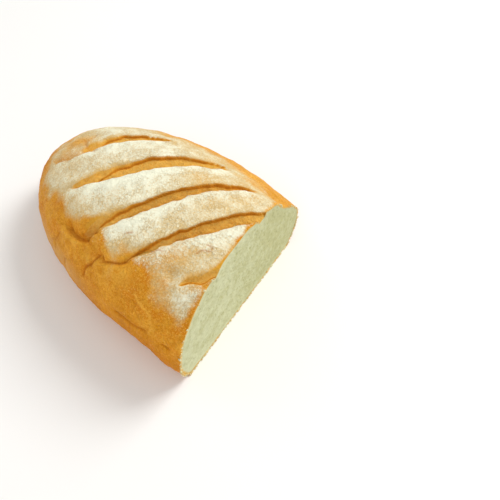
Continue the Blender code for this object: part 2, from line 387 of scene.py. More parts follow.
def waves(points, length, seed):
    """A soft pattern from about -1 to 1: the sum of twelve sines, over 4.2."""
    angles = wave_angles(points, length, seed, 0.7, 1.5, 2 * math.pi)
    return np.sin(angles).sum(axis=1) / 4.2


def creases(points, length, seed):
    """Sharp valleys between soft pillows: the sum of twelve |sine| - 2 / pi, over 2.2."""
    angles = wave_angles(points, length, seed, 0.6, 1.8, math.pi)
    return (np.abs(np.sin(angles)) - 2 / math.pi).sum(axis=1) / 2.2


def smooth_loaf(sizes, lat, turn):
    """Points of the loaf without slashes, and how far along and across it they lie.

    With s = sign(cos turn) |cos turn|^(2/n) the share across, the share along is
    sin(lat - slant s (1 - sin^6 lat)), so that rows slant with the slashes. The plan and the
    ridge are superellipses of the share along, and the section is one of the turn.
    """
    across = np.cos(turn)
    rise = np.sin(turn)
    shoulder = np.where(across < 0, sizes.near_shoulder, sizes.far_shoulder)
    power = 2 / np.where(rise >= 0, shoulder, sizes.tuck_power)
    share_across = np.sign(across) * np.abs(across) ** power
    along = np.sin(lat - sizes.slant * share_across * (1 - np.sin(lat) ** 6))
    half_width = sizes.whole_width / 2 * superellipse(along, sizes.plan_power)
    ridge = sizes.height * superellipse(along, sizes.ridge_power)
    waist = sizes.waist * ridge
    side = half_width * share_across
    lift = np.abs(rise) ** power
    above = waist + (ridge - waist) * lift
    below = waist * (1 - sizes.tuck * lift)
    from_middle = sizes.whole_length / 2 * along
    x = CAD_HIGH.x - sizes.cut_from_middle - from_middle * math.cos(sizes.axis_turn)
    x = x + side * math.sin(sizes.axis_turn)
    y = from_middle * math.sin(sizes.axis_turn) + side * math.cos(sizes.axis_turn)
    points = np.stack([x, y, np.where(rise >= 0, above, below)], axis=-1)
    return points, along, share_across


def loaf_normals(sizes, lat, turn):
    """Outward directions: the cross product of the surface's slopes along and round it."""
    step = 1e-4
    limit = math.pi / 2 - 20 * step
    inside = np.clip(lat, -limit, limit)
    along = smooth_loaf(sizes, inside + step, turn)[0] - smooth_loaf(sizes, inside - step, turn)[0]
    around = smooth_loaf(sizes, inside, turn + step)[0] - smooth_loaf(sizes, inside, turn - step)[0]
    normal = np.cross(along, around)
    return normal / np.maximum(np.linalg.norm(normal, axis=-1, keepdims=True), 1e-20)


def slash_frame(points, slash):
    """How far along a slash each point is, how far behind its middle line, the half width and
    the fade towards the ends there, and the direction to the back.

    The middle line is the chord plus bow sin(pi t) + sway sin(2 pi t) towards the back, and
    the half width is its largest value times sin(pi t^skew)^0.6.
    """
    near, far, bow, sway, half_width, skew = slash[:6]
    near = np.array(near)
    chord = np.array(far) - near
    length = np.hypot(*chord)
    chord = chord / length
    back = np.array([-chord[1], chord[0]])
    rel = points[:, :2] - near
    t = rel @ chord / length
    inside = np.clip(t, 0, 1)
    middle = bow * np.sin(math.pi * inside) + sway * np.sin(2 * math.pi * inside)
    fade = np.sin(math.pi * inside) ** 0.6
    wide = half_width * np.maximum(np.sin(math.pi * inside ** skew) ** 0.6, 0.05)
    return t, rel @ back - middle, wide, fade, back


def carve_slash(points, slash, shape, height):
    """The relief of one slash, the sideways lean of its lip, and its colour masks.

    Across the slash, from front to back: a superellipse shoulder down to the floor's foot, a
    floor that rises in a straight line, and a step up that is soft in the near part and
    steep in the far part, where its edge is raised and leans forward.
    """
    t, d, wide, fade, back = slash_frame(points, slash)
    depth_share, torn_from = slash[6:]
    torn = ramp(t, torn_from - 0.10, torn_from + 0.12)
    tip = 1 - ramp(t, 0.24 * torn_from, 0.71 * torn_from)
    d = d + 0.0005 * waves(points, 0.011, 5) + 0.00035 * torn * waves(points, 0.0028, 4)
    step_half = shape.lip_run + (shape.soft_run - shape.lip_run) * (1 - torn) + 0.0012 * tip
    step_half = np.clip(step_half, shape.lip_run, np.maximum(0.55 * wide, shape.lip_run))
    foot = shape.shoulder_foot - wide
    run = (d + wide + shape.shoulder_run) / (shape.shoulder_foot + shape.shoulder_run)
    shoulder = 1 - superellipse(np.clip(run, 0, 1), shape.shoulder_curve)
    rise = np.clip((d - foot) / (wide - foot), 0, 1)
    lip_depth = shape.lip_depth + 0.0008 * (1 - torn)
    floor = shape.depth + (lip_depth - shape.depth) * rise
    floor = floor + 0.0004 * waves(points, 0.004, 6) * rise * (1 - rise) * 4
    behind = ramp(d, wide - step_half, wide + step_half)
    on_top = ramp(points[:, 2], 0.42 * height, 0.66 * height)
    edge = behind * np.exp(-np.clip(d - wide, 0, None) / 0.0016) * fade * on_top * torn
    relief = depth_share * (shape.ear * edge - shoulder * floor * (1 - behind) * fade * on_top)
    lean = np.zeros_like(points)
    lean[:, :2] = -back * (shape.overhang * edge)[:, None]

    opened = ramp(fade, 0.12, 0.4) * on_top
    beside = ramp(fade, 0.1, 0.6) * on_top
    front = ramp(d, -wide - 0.0005, -wide + 0.0005)
    crease = (wide - 0.8 * step_half) * (1 - tip) + (0.0007 - wide) * tip
    fore = bell(np.clip(d - wide, 0, None), 0.0030 - 0.0016 * torn) * (d > 0) * beside
    masks = {
        "slash_bare": front * opened
        * (1 - ramp(d, wide - step_half * 0.6, wide + step_half * 0.9)),
        # A line of painted shade at the crease, painted shadow below the lip where it is torn; near
        # the ends it moves to the front foot. The next mask is painted shade spreading forward from
        # the crease.
        "slash_crease_shade": bell(d - crease, 0.00050 + 0.20 * step_half * (1 - tip)) * opened,
        "slash_shade": bell(np.clip(crease - d, 0, None), 0.0016) * opened,
        "rear": bell(d + wide + 0.004, 0.0055) * beside * (d < -wide + 0.001),
        "fore": fore * (1 - 0.7 * torn),
        "soft": fore * (1 - torn),
    }
    return relief, lean, masks


def line_distance(points, line):
    """How far each point lies from a line, given in millimetres, and the offset from it."""
    nearest = np.full(len(points), np.inf)
    towards = np.zeros_like(points)
    line = np.array(line) * MM
    for start, run in zip(line[:-1], np.diff(line, axis=0)):
        t = np.clip((points - start) @ run / (run @ run), 0, 1)
        offset = points - start - t[:, None] * run
        distance = np.linalg.norm(offset, axis=1)
        closer = distance < nearest
        nearest = np.where(closer, distance, nearest)
        towards[closer] = offset[closer]
    return nearest, towards


def fold_groove(points, line, reach_front, reach_back):
    """How strongly a fold draws each point in, its line of painted shade and where it clears the
    flour.

    The groove is exp(-(distance / reach)^1.15), with one reach in front of the fold's line,
    which is its steep side, and another behind it.
    """
    nearest, offset = line_distance(points, line)
    above = math.sqrt(0.5) * (offset[:, 1] + offset[:, 2])
    behind = ramp(above, *FOLD_TURN)
    reach = reach_front + (reach_back - reach_front) * behind
    groove = np.exp(-(nearest / reach) ** FOLD_POWER)
    dark = np.exp(-(nearest / reach_front) ** 1.5)
    return groove, dark, behind * bell(nearest, 0.007) * ramp(reach_back, 0.003, 0.005)


def raise_masks(masks, values):
    """Lets each mask be at least the value given for it."""
    for name, value in values.items():
        masks[name] = np.maximum(masks.get(name, 0.0), value)


def large_relief(base, shape, height):
    """How far slashes, folds, veins and swells move each point, how far the lips lean, the
    colour masks, and where the folds clear the flour."""
    relief = np.zeros(len(base))
    lean = np.zeros_like(base)
    masks = {}
    for slash in SLASHES:
        moved, leaned, marks = carve_slash(base, slash, shape, height)
        relief += moved
        lean += leaned
        raise_masks(masks, marks)
    cleared = np.zeros(len(base))
    for line, *lengths in FOLDS:
        reach_front, reach_back, depth = np.array(lengths) * MM
        groove, dark, bared = fold_groove(base, line, reach_front, reach_back)
        relief -= depth * groove
        cleared = np.maximum(cleared, bared)
        strong = ramp(depth, 0.0, STRONG_FOLD)
        # Painted shade over the fold's groove and a line of painted shade along it
        raise_masks(masks, {"fold_shade_and_crack_line": strong * dark, "fold_shade": strong * groove})
    for line in VEINS:
        thin = bell(line_distance(base, line)[0], VEIN_WIDTH)
        relief += VEIN_HEIGHT * thin
        raise_masks(masks, {"pale_vein_and_highlight": thin})
    for line in HAIRLINES:
        raise_masks(masks, {"fold_shade_and_crack_line": 0.8 * bell(line_distance(base, line)[0], HAIRLINE_WIDTH)})
    for *place, strength in PALE_SPOTS:
        raise_masks(masks, {"pale_vein_and_highlight": strength * spot(base, *place)})
    for *place, swell in SWELLS:
        relief += swell * MM * spot(base, *place)
    return relief, lean, masks, cleared


def fine_relief(base, masks, near):
    """The height of the crumpled places, the side's creases and the fine waves.

    The crumpled places' valleys get painted shade and their ridges a painted highlight.
    """
    crumpled = np.zeros(len(base))
    for place in CRUMPLED:
        crumpled = np.maximum(crumpled, spot(base, *place))
    height, length, seed = CRUMPLE
    pattern = creases(base, length, seed)
    relief = height * pattern * crumpled
    # Painted shade in the crumpled valleys and painted highlight on their ridges
    raise_masks(masks, {
        "fold_shade": crumpled * ramp(-pattern, 0.15, 0.80),
        "pale_vein_and_highlight": 0.9 * crumpled * ramp(pattern, 0.25, 0.85),
    })
    height, length, seed = SIDE_CREASES
    bare_side = ramp(-base[:, 2], -0.068, -0.052) * near
    relief += height * creases(base, length, seed) * bare_side
    for height, length, seed in FINE_WAVES:
        relief += height * waves(base, length, seed)
    return relief


def flour_cover(base, level, near, cleared):
    """How much flour lies on each point: it comes in with the level, is cleared behind the
    folds and at the cut, and the patches change it."""
    low = 0.70 - 0.03 * near
    wavy = level + 0.035 * waves(base, 0.020, 8) + 0.02 * waves(base, 0.007, 9)
    cover = ramp(wavy, low, low + 0.24 - 0.02 * near) - 0.5 * cleared
    for *place, change in FLOUR_PATCHES:
        cover += change * spot(base, *place)
    margin = 0.0016 + 0.0018 * ramp(-base[:, 1], 0.030, 0.055)
    cover -= 0.7 * bell(np.clip(CUT_X - base[:, 0], 0, None), margin)
    return np.clip(cover, 0, 1.6)


def section_turns(sizes, count, foot_count):
    """Turns round the section: closely spaced on the near side, wider apart on the far side
    and across the foot."""
    foot_rise = (1 / sizes.tuck) ** (sizes.tuck_power / 2)
    foot_turn = math.asin(foot_rise)
    fine = np.linspace(-foot_turn, math.pi + foot_turn, 4001)
    points = smooth_loaf(sizes, np.zeros_like(fine), fine)[0][:, 1:]
    steps = np.hypot(*np.diff(points, axis=0).T)
    steps = steps * (0.42 + 0.58 * ramp(fine[1:], 0.9, 1.8))
    length = np.concatenate([[0], np.cumsum(steps)])
    top = np.interp(np.linspace(0, length[-1], count), length, fine)
    foot = np.linspace(math.pi + foot_turn, 2 * math.pi - foot_turn, foot_count + 2)[1:-1]
    return np.concatenate([top, foot])


def crust_rows():
    """The rows' places along the loaf: fine over the slashes, coarser over the round end."""
    fine = np.linspace(-0.78, 0.95, 460, endpoint=False)
    return np.concatenate([fine, np.linspace(0.95, math.pi / 2, 66)])


def crust_surface(sizes, shape):
    """The crust's points and colour masks on a grid of rows along the loaf and turns round it.

    Each point is the smooth loaf's, moved along its normal by the sum of the slashes, folds,
    swells and fine waves, and leaned sideways at the lips.
    """
    turns = section_turns(sizes, 205, 8)
    rows = crust_rows()
    lat = np.repeat(rows, len(turns))
    turn = np.tile(turns, len(rows))
    base, along, across = smooth_loaf(sizes, lat, turn)
    aside = across * sizes.whole_width / 2 * superellipse(along, sizes.plan_power)
    near = ramp(-aside, 0.0, 0.045)
    relief, lean, masks, cleared = large_relief(base, shape, sizes.height)
    relief += fine_relief(base, masks, near)
    points = base + loaf_normals(sizes, lat, turn) * relief[:, None] + lean
    ridge = sizes.height * superellipse(along, sizes.ridge_power)
    level = base[:, 2] / np.maximum(ridge, 0.80 * sizes.height)
    low_end = ramp(-base[:, 0], -0.030, 0.020) * ramp(-level, -0.60, -0.30)
    masks["cover"] = flour_cover(base, level, near, cleared)
    masks["low_pale"] = low_end * near
    masks["far_side"] = ramp(aside, -0.026, 0.041)
    masks["level"] = np.clip(level, 0, 1)
    foot = (turn < -0.4) | (turn > math.pi + 0.4)
    points[foot & (base[:, 2] <= 0.0002), 2] = 0.0
    points = np.clip(points, np.array(CAD_LOW) + 1e-5, np.array([1.0, CAD_HIGH.y, CAD_HIGH.z]))
    return points, masks, len(rows), len(turns)


def grid_faces(rows, columns):
    """Quads between neighbouring rows of a grid, closed round its columns."""
    row, column = np.meshgrid(np.arange(rows - 1), np.arange(columns), indexing="ij")
    after = (column + 1) % columns
    quads = [row * columns + column, (row + 1) * columns + column,
             (row + 1) * columns + after, row * columns + after]
    return np.stack(quads, axis=-1).reshape(-1, 4)


def new_piece(name, points, faces, values, material):
    """A mesh object from arrays, shaded smooth, with one float attribute for each value."""
    mesh = bpy.data.meshes.new(name)
    mesh.from_pydata(points.tolist(), [], faces.tolist())
    for value_name, value in values.items():
        attribute = mesh.attributes.new(value_name, "FLOAT", "POINT")
        attribute.data.foreach_set("value", np.asarray(value, np.float32))
    mesh.shade_smooth()
    mesh.validate()
    mesh.materials.append(material)
    piece = bpy.data.objects.new(name, mesh)
    bpy.context.scene.collection.objects.link(piece)
    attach(piece, "root")
    return piece


@contextmanager
def edited(mesh):
    """The mesh as a bmesh, which is written back afterwards."""
    shape = bmesh.new()
    shape.from_mesh(mesh)
    yield shape
    shape.to_mesh(mesh)
    shape.free()


def edge_loop(shape):
    """The points of a mesh's only open edge, in order from the one that lies farthest to +Y."""
    follow = {}
    for edge in shape.edges:
        if edge.is_boundary:
            one, two = edge.verts
            follow.setdefault(one.index, []).append(two.index)
            follow.setdefault(two.index, []).append(one.index)
    loop = [max(follow, key=lambda index: shape.verts[index].co.y)]
    before = None
    while len(loop) <= len(follow):
        after = next(index for index in follow[loop[-1]] if index != before)
        before = loop[-1]
        if after == loop[0] and len(loop) > 2:
            return np.array([shape.verts[index].co for index in loop])
        loop.append(after)
    raise RuntimeError("the cut's edge isn't one closed loop")


def cut_open(mesh):
    """Cuts the crust off at the cut face, and returns the edge's points in order round it."""
    with edited(mesh) as shape:
        geometry = shape.verts[:] + shape.edges[:] + shape.faces[:]
        bmesh.ops.bisect_plane(
            shape, geom=geometry, dist=1e-7, plane_co=(CUT_X, 0, 0), plane_no=(1, 0, 0),
            clear_outer=True)
        shape.verts.index_update()
        shape.verts.ensure_lookup_table()
        return edge_loop(shape)


def weld_pole(mesh):
    """Joins the points that meet at a grid's pole."""
    with edited(mesh) as shape:
        bmesh.ops.remove_doubles(shape, verts=shape.verts, dist=1e-6)
        bmesh.ops.dissolve_degenerate(shape, edges=shape.edges, dist=1e-7)


def face_out(mesh):
    """Turns a cut face's quads so that they look towards +X."""
    with edited(mesh) as shape:
        shape.normal_update()
        if sum(face.normal.x * face.calc_area() for face in shape.faces) < 0:
            bmesh.ops.reverse_faces(shape, faces=shape.faces)


def in_blocks(points, work):
    """What work gives for the points, done in blocks so that its tables stay small."""
    block = 4000
    parts = [work(points[start:start + block]) for start in range(0, len(points), block)]
    return np.concatenate(parts)


def pore_bowls(points, low, high, count):
    """How far random pores between low and high sink each point, and how open they are there.

    A pore sinks a point by 0.4 radius (1 - (distance / radius)^2), where that is above 0.
    """
    rng = np.random.default_rng(11)
    pores = rng.uniform(low, high, (count, 2))
    radius = 0.00030 + 0.0010 * rng.random(count) ** 4
    stretch = rng.uniform(0.85, 1.18, count)

    def deepest(block):
        away = block[:, None] - pores
        squared = (away[..., 0] * stretch) ** 2 + (away[..., 1] / stretch) ** 2
        bowl = np.clip(1 - squared / radius ** 2, 0, None)
        return np.stack([(bowl * radius * 0.40).max(axis=1), bowl.max(axis=1)], axis=1)

    return in_blocks(points, deepest).T


def crumb_surface(outline, looks, rings):
    """The cut face: rings from the outline to its middle, sunk by the pores and soft waves.

    A point is middle + r (outline - middle), with r from 1 to 0.
    """
    centre = np.array([CUT_X, outline[:, 1].mean(), 0.036])
    share = 1 - np.linspace(0, 1, rings) ** 1.15
    points = (centre + share[:, None, None] * (outline - centre)).reshape(-1, 3)
    rim = outline[:, 1:]

    def to_rim(block):
        return np.sqrt(((block[:, None] - rim) ** 2).sum(-1)).min(axis=1)

    edge_near = in_blocks(points[:, 1:], to_rim)
    sunk, open_pore = pore_bowls(points[:, 1:], rim.min(axis=0), rim.max(axis=0), looks.pore_count)
    inside = ramp(edge_near, 0.0006, 0.003)
    sunk = sunk + 0.00012 + 0.00012 * waves(points, 0.0045, 21)
    sunk = (sunk + 0.00008 * (1 + waves(points, 0.0018, 22))) * inside
    points[:, 0] = CUT_X - sunk
    broad = 1 + 0.8 * ramp(-points[:, 1], 0.050, 0.070)
    masks = {
        "rim_near": np.clip(edge_near / looks.rim_width / broad, 0, 1),
        "pore": open_pore * inside,
        "inner": np.clip(edge_near / 0.007, 0, 1),
        "far_shade": ramp(points[:, 1], -0.045, 0.055),
    }
    return points, masks


class NodeTree:
    """Adds nodes to a material or a group in one line each."""

    def __init__(self, tree):
        self.tree = tree

    def node(self, kind, **settings):
        """A node with its settings and its inputs' values or links."""
        made = self.tree.nodes.new(kind)
        inputs = settings.pop("inputs", {})
        for name, value in settings.items():
            setattr(made, name, value)
        for name, value in inputs.items():
            if isinstance(value, bpy.types.NodeSocket):
                self.link(value, made, name)
            else:
                made.inputs[name].default_value = value
        return made

    def link(self, value, node, name):
        """Joins an output to a node's input."""
        self.tree.links.new(value, node.inputs[name])

    def attribute(self, name):
        """A float attribute of the mesh."""
        return self.node("ShaderNodeAttribute", attribute_name=name).outputs["Fac"]

    def math(self, operation, one, two=0.0):
        """A plain operation on one or two numbers."""
        return self.node(
            "ShaderNodeMath", operation=operation, inputs={0: one, 1: two}).outputs[0]

    def plus(self, one, two):
        """Their sum."""
        return self.math("ADD", one, two)

    def times(self, one, two):
        """Their product."""
        return self.math("MULTIPLY", one, two)

    def total(self, first, *terms):
        """A first value plus each further value times its weight."""
        for value, weight in terms:
            first = self.plus(first, self.times(value, weight))
        return first

    def ramp(self, value, low, high, to_low=0.0, to_high=1.0):
        """A smooth change from to_low to to_high as value goes from low to high."""
        return self.node(
            "ShaderNodeMapRange", interpolation_type="SMOOTHSTEP",
            inputs={"Value": value, "From Min": low, "From Max": high,
                    "To Min": to_low, "To Max": to_high}).outputs["Result"]

    def mix(self, share, one, two):
        """A colour between two."""
        return self.node(
            "ShaderNodeMix", data_type="RGBA", inputs={0: share, 6: one, 7: two}).outputs[2]

    def layered(self, colour, *layers):
        """A colour with others laid over it, each with its share."""
        for share, over in layers:
            colour = self.mix(share, colour, over)
        return colour

    def noise(self, vector, scale, detail, rough):
        """A noise of a number of waves for each metre."""
        return self.node(
            "ShaderNodeTexNoise",
            inputs={"Vector": vector, "Scale": scale, "Detail": detail, "Roughness": rough},
        ).outputs["Fac"]

    def thin_line(self, noise, width, top):
        """top where a noise passes its middle value, falling to 0 at width beside it."""
        away = self.math("ABSOLUTE", self.math("SUBTRACT", noise, 0.5))
        return self.ramp(away, 0.0, width, top, 0.0)

    def wrinkles(self, vector, scale):
        """Thin bent lines, and thinner ones between them."""
        coarse = self.noise(vector, scale, 3.0, 0.55)
        fine = self.noise(vector, scale * 2.3, 3.0, 0.55)
        return self.plus(self.thin_line(coarse, 0.05, 0.5), self.thin_line(fine, 0.05, 0.5))

    def cracks(self, vector, scale, width):
        """Lines between irregular cells of a number for each metre: 1 on a line, 0 off it."""
        bent = self.node("ShaderNodeTexNoise", inputs={"Vector": vector, "Scale": scale * 1.3})
        shift = self.node("ShaderNodeVectorMath", operation="SCALE",
                          inputs={0: bent.outputs["Color"], "Scale": 0.9 / scale})
        moved = self.node("ShaderNodeVectorMath", operation="ADD",
                          inputs={0: vector, 1: shift.outputs[0]})
        cells = self.node("ShaderNodeTexVoronoi", feature="DISTANCE_TO_EDGE",
                          inputs={"Vector": moved.outputs[0], "Scale": scale})
        return self.ramp(cells.outputs["Distance"], 0.0, width, 1.0, 0.0)

    def bump(self, height, strength, distance):
        """A normal bent by a height."""
        return self.node(
            "ShaderNodeBump",
            inputs={"Strength": strength, "Distance": distance, "Height": height},
        ).outputs["Normal"]


def new_material(name, rough, specular=0.5):
    """A material with only its Principled shader, its tree and the object's coordinates."""
    material = bpy.data.materials.new(name)
    material.use_nodes = True
    tree = NodeTree(material.node_tree)
    shader = material.node_tree.nodes["Principled BSDF"]
    shader.inputs["Roughness"].default_value = rough
    shader.inputs["Specular IOR Level"].default_value = specular
    place = tree.node("ShaderNodeTexCoord").outputs["Object"]
    return material, tree, shader, place


def fine_grain_group():
    """A group that gives a fine grain's height from two noises, with its scale as an input."""
    group = bpy.data.node_groups.new("fine_grain", "ShaderNodeTree")
    group.interface.new_socket("Vector", in_out="INPUT", socket_type="NodeSocketVector")
    group.interface.new_socket("Scale", in_out="INPUT", socket_type="NodeSocketFloat")
    group.interface.new_socket("Height", in_out="OUTPUT", socket_type="NodeSocketFloat")
    tree = NodeTree(group)
    vector, scale = tree.node("NodeGroupInput").outputs[:2]
    coarse = tree.noise(vector, scale, 4.0, 0.6)
    fine = tree.noise(vector, tree.times(scale, 3.1), 3.0, 0.6)
    height = tree.total(tree.times(coarse, 0.65), (fine, 0.35))
    tree.link(height, tree.node("NodeGroupOutput"), "Height")
    return group


def add_grain(tree, group, place, scale):
    """The fine grain's height in a material."""
    made = tree.node("ShaderNodeGroup", node_tree=group, inputs={"Vector": place, "Scale": scale})
    return made.outputs["Height"]


def golden_crust(tree, looks, noise, place):
    """The bare crust's colour, and the height of its wrinkles.

    Over the gold, which is paler on the far side, lie dark and light blotches, fibres and
    wrinkles that stand upright, grit whose light flecks are partly painted glints, the round
    end's pale foot, veins with the painted highlight of raised edges and crumpled ridges, and
    the dark foot.
    """
    level = tree.attribute("level")
    far = tree.attribute("far_side")
    upright = tree.node("ShaderNodeMapping", inputs={"Vector": place, "Scale": (1.0, 1.0, 0.3)})
    upright = upright.outputs[0]
    fibre = tree.noise(upright, 620.0, 3.0, 0.65)
    wrinkle = tree.wrinkles(upright, 210.0)
    blotch = tree.total(tree.times(noise.broad, 0.50), (noise.patch, 0.50))
    near_share = tree.ramp(far, 0.2, 0.8, 1.0, 0.4)
    high_share = tree.times(tree.ramp(level, 0.52, 0.80), 0.50)
    gritty = tree.ramp(noise.patch, 0.40, 0.60, 0.35, 1.0)
    band = tree.times(tree.ramp(level, 0.45, 0.62), tree.ramp(level, 0.70, 0.80, 0.70, 0.0))
    broken = tree.ramp(noise.speck, 0.40, 0.56, 0.35, 1.0)
    foot = tree.times(tree.ramp(level, 0.50, 0.12, 0.0, 0.85), tree.ramp(far, 0.5, 0.2))
    colour = tree.layered(
        tree.mix(far, looks.golden, looks.pale),
        (tree.times(tree.ramp(blotch, 0.46, 0.60, 0.0, 0.85), near_share), looks.deep),
        (tree.times(high_share, tree.ramp(blotch, 0.62, 0.44)), looks.amber),
        (tree.ramp(noise.broad, 0.50, 0.36, 0.0, 0.30), looks.amber),
        (tree.ramp(fibre, 0.50, 0.66, 0.0, 0.36), looks.amber),
        (tree.ramp(wrinkle, 0.45, 0.95, 0.0, 0.55), looks.amber),
        (tree.ramp(wrinkle, 0.30, 0.02, 0.0, 0.55), looks.deep),
        # Light grit flecks: partly painted glints, partly lighter tone; the dark grit below is tone
        (tree.times(tree.ramp(noise.grit, 0.54, 0.68), gritty), looks.amber),
        (tree.times(tree.ramp(noise.grit, 0.46, 0.36), gritty), looks.deep),
        (tree.times(tree.attribute("low_pale"), 0.55), looks.tan),
        (tree.times(tree.thin_line(noise.patch, 0.014, 1.0), band), looks.amber),
        # Pale veins and spots, and painted highlight on raised edges and crumpled ridges
        (tree.times(tree.attribute("pale_vein_and_highlight"), broken), looks.amber),
        (foot, looks.deep),
        (tree.times(tree.attribute("soft"), 0.80), looks.pale),
    )
    return colour, wrinkle


def add_flour(tree, looks, noise, place, colour):
    """The colour with a film of flour and thick flour over it, how thick the flour lies, and
    its cracks."""
    cover = tree.attribute("cover")
    fore = tree.attribute("fore")
    mottle = tree.total(
        -2.8, (noise.patch, 1.2), (noise.speck, 1.8), (noise.grit, 1.8), (noise.broad, 0.8))
    film = tree.total(cover, (fore, -0.55), (mottle, 0.30))
    cracked = tree.times(tree.cracks(place, 420.0, 0.13), tree.ramp(noise.patch, 0.60, 0.42))
    thick = tree.total(
        cover, (tree.attribute("rear"), 0.45), (fore, -0.75), (mottle, 0.85), (cracked, -0.25))
    flour = tree.ramp(thick, 0.42, 1.72)
    colour = tree.layered(colour, (tree.ramp(film, 0.02, 0.85), looks.tan), (flour, looks.flour))
    return colour, flour, cracked


def add_slashes(tree, looks, noise, colour):
    """The colour with the slashes' bare floors and their painted shade, the painted shadow lines
    below their lips, and the folds' painted shade and lines of painted shade, with the hairline
    cracks' dark lines."""
    spots = tree.total(tree.times(noise.speck, 0.6), (noise.streak, 0.4))
    # Painted shade on the floor in front of each slash's crease
    shaded = tree.times(tree.attribute("slash_shade"), tree.ramp(spots, 0.40, 0.60, 0.7, 0.15))
    floor = tree.layered(
        looks.floor, (tree.ramp(spots, 0.52, 0.66, 0.0, 0.6), looks.pale),
        (shaded, looks.floor_shade))
    ragged = tree.total(tree.attribute("slash_bare"), (noise.speck, 0.5))
    dark = tree.attribute("slash_crease_shade")
    return tree.layered(
        colour,
        (tree.ramp(ragged, 0.55, 0.95), floor),
        # Painted shade along each slash's crease, painted shadow where its lip is torn
        (tree.ramp(dark, 0.12, 0.62, 0.0, 0.85), looks.floor_shade),
        (tree.ramp(dark, 0.40, 1.0, 0.0, 0.75), looks.lip),
        # Painted shade over the folds' grooves and along their lines, and the hairline cracks' dark
        # lines
        (tree.times(tree.attribute("fold_shade"), 0.40), looks.deep),
        (tree.times(tree.attribute("fold_shade_and_crack_line"), 0.75), looks.lip),
    )


def crust_material(looks, grain):
    """Golden crust with blotches, mottled flour on top, bare slash floors and dark lips."""
    material, tree, shader, place = new_material("crust", 0.9, 0.08)
    noise = SimpleNamespace(
        broad=tree.noise(place, 42.0, 3.0, 0.55),
        patch=tree.noise(place, 130.0, 4.0, 0.62),
        speck=tree.noise(place, 620.0, 4.0, 0.68),
        grit=tree.noise(place, 1050.0, 3.0, 0.65),
        streak=tree.noise(place, 1900.0, 2.0, 0.6),
    )
    colour, wrinkle = golden_crust(tree, looks, noise, place)
    colour, flour, cracked = add_flour(tree, looks, noise, place, colour)
    colour = add_slashes(tree, looks, noise, colour)
    rough = tree.total(0.55, (flour, 0.35))
    grained = add_grain(tree, grain, place, 520.0)
    height = tree.total(grained, (flour, 0.35), (cracked, -0.30), (wrinkle, 0.30))
    tree.link(colour, shader, "Base Color")
    tree.link(rough, shader, "Roughness")
    tree.link(tree.bump(height, 0.9, 0.0010), shader, "Normal")
    return material


def crumb_material(looks, grain):
    """Pale soft crumb with shaded pores and the crust's golden line round its edge."""
    material, tree, shader, place = new_material("crumb", 0.9, 0.2)
    broad = tree.noise(place, 95.0, 2.0, 0.5)
    patch = tree.noise(place, 300.0, 3.0, 0.6)
    fine = tree.noise(place, 850.0, 3.0, 0.62)
    shade = tree.total(tree.ramp(fine, 0.38, 0.66, 0.12, 0.42), (tree.attribute("pore"), 0.40))
    shade = tree.plus(shade, tree.ramp(patch, 0.40, 0.66, 0.08, 0.34))
    shade = tree.plus(shade, tree.ramp(broad, 0.40, 0.62, -0.08, 0.22))
    shade = tree.times(shade, tree.ramp(tree.attribute("inner"), 0.1, 0.9, 0.45, 1.0))
    shade = tree.math("MINIMUM", tree.total(shade, (tree.attribute("far_shade"), 0.45)), 1.0)
    ragged = tree.total(tree.attribute("rim_near"), (patch, 0.8))
    colour = tree.layered(
        looks.crumb, (shade, looks.pore), (tree.ramp(ragged, 0.65, 1.35, 1.0, 0.0), looks.rim))
    grained = add_grain(tree, grain, place, 1100.0)
    tree.link(colour, shader, "Base Color")
    tree.link(tree.bump(grained, 0.4, 0.0003), shader, "Normal")
    return material


def bits_material(looks):
    """Torn crumb, from pale to toasted."""
    material, tree, shader, _ = new_material("torn_crumb", 0.9, 0.15)
    tree.link(tree.mix(tree.attribute("tone"), looks.crumb, looks.torn), shader, "Base Color")
    return material


class LOAF_OT_crust_and_crumb(bpy.types.Operator):
    """Makes the crust with its slashes, and the cut face that closes it"""
    bl_idname = "loaf.crust_and_crumb"
    bl_label = "Crust and crumb"

    def execute(self, context):
        scene = context.scene
        grain = fine_grain_group()
        points, masks, rows, columns = crust_surface(scene.loaf_sizes, scene.loaf_slash)
        crust = new_piece("crust", points, grid_faces(rows, columns), masks,
                          crust_material(scene.loaf_crust, grain))
        outline = cut_open(crust.data)
        scene["loaf_outline"] = outline.ravel().tolist()
        weld_pole(crust.data)
        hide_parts("loaf")
        rings = 130
        points, masks = crumb_surface(outline, scene.loaf_crumb, rings)
        crumb = new_piece("crumb", points, grid_faces(rings, len(outline)), masks,
                          crumb_material(scene.loaf_crumb, grain))
        weld_pole(crumb.data)
        face_out(crumb.data)
        return {"FINISHED"}


def rim_places(outline, count, low_share, rng):
    """Random places along the cut's outline, most of them along the base and low on the side."""
    following = np.roll(outline, -1, axis=0)
    steps = np.linalg.norm(following - outline, axis=1)
    height = outline[:, 2]
    weight = steps * np.where(height < 0.004, 1.0, low_share * np.exp(-height / 0.020))
    chosen = rng.choice(len(outline), count, p=weight / weight.sum())
    slide = rng.random((count, 1))
    return outline[chosen] * (1 - slide) + following[chosen] * slide


